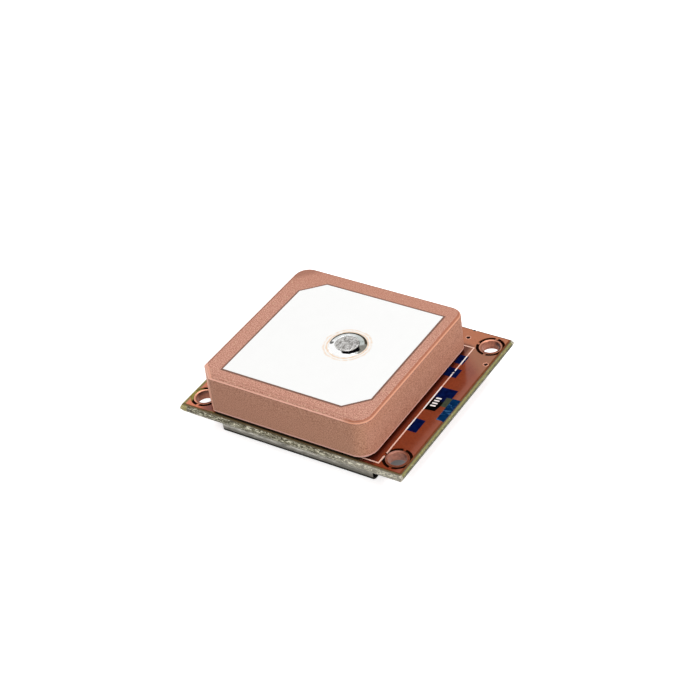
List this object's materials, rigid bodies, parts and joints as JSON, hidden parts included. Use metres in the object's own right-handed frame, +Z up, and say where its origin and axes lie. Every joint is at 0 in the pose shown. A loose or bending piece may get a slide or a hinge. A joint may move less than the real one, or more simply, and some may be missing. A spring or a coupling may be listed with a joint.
{
  "type": "gps receiver module",
  "caption": "Satellite receiver module: ceramic patch antenna with silver electrode on a small drilled circuit board, shield can underneath.",
  "frame": {"origin": "under the middle of the circuit board, in the plane of the shield can's flat base", "axes": "+X along the board's long edge, +Y across the board towards the edge with the solder lands, +Z up through the antenna"},
  "size_m": [0.0232, 0.0208, 0.0069],
  "materials": {
    "laminate": "bare glass-fibre laminate, rough where it was snapped",
    "masked_copper": "copper under a glossy clear orange solder mask",
    "bare_copper": "plated copper, satin",
    "tinned_copper": "tinned, satin",
    "tape": "dark double-sided tape",
    "fired_silver": "white matt fired silver",
    "ceramic": "matt fired ceramic, finely speckled",
    "tinned_pin": "tinned, wrinkled",
    "solder": "bright solder",
    "tinned_steel": "tinned sheet steel, drawn and lightly brushed",
    "black_mould": "matt moulding compound",
    "lidded_ceramic": "ceramic package with a plated lid",
    "ferrite": "matt ferrite",
    "tantalum_mould": "matt moulding compound",
    "thick_film": "glazed film on ceramic",
    "multilayer_ceramic": "fired multilayer ceramic"
  },
  "bodies": {
    "root": {"circuit_board": "laminate", "ground_foil": "masked_copper", "plated_hole_left": "bare_copper", "plated_hole_front": "bare_copper", "plated_hole_right": "bare_copper", "plated_hole_back": "bare_copper", "solder_land_1": "tinned_copper", "solder_land_2": "tinned_copper", "solder_land_3": "tinned_copper", "solder_land_4": "tinned_copper", "solder_land_5": "tinned_copper", "solder_land_6": "tinned_copper", "solder_land_7": "tinned_copper", "antenna_tape": "tape", "ground_electrode": "fired_silver", "ceramic_patch": "ceramic", "patch_electrode": "fired_silver", "feed_pin": "tinned_pin", "feed_solder_top": "solder", "feed_solder_bottom": "solder", "shield_can": "tinned_steel", "gnss_receiver": "black_mould", "flash_memory": "black_mould", "low_noise_amplifier": "black_mould", "voltage_regulator": "black_mould", "saw_filter": "lidded_ceramic", "temperature_compensated_oscillator": "lidded_ceramic", "clock_crystal": "lidded_ceramic", "power_inductor": "ferrite", "reservoir_capacitor": "tantalum_mould", "matching_inductor_1": "thick_film", "matching_inductor_2": "thick_film", "capacitor_1": "multilayer_ceramic", "capacitor_2": "multilayer_ceramic", "capacitor_3": "multilayer_ceramic", "capacitor_4": "multilayer_ceramic", "capacitor_5": "multilayer_ceramic", "capacitor_6": "multilayer_ceramic", "capacitor_7": "multilayer_ceramic", "capacitor_8": "multilayer_ceramic", "capacitor_9": "multilayer_ceramic", "resistor_1": "thick_film", "resistor_2": "thick_film", "resistor_3": "thick_film", "resistor_4": "thick_film", "resistor_5": "thick_film"}
  },
  "joints": []
}
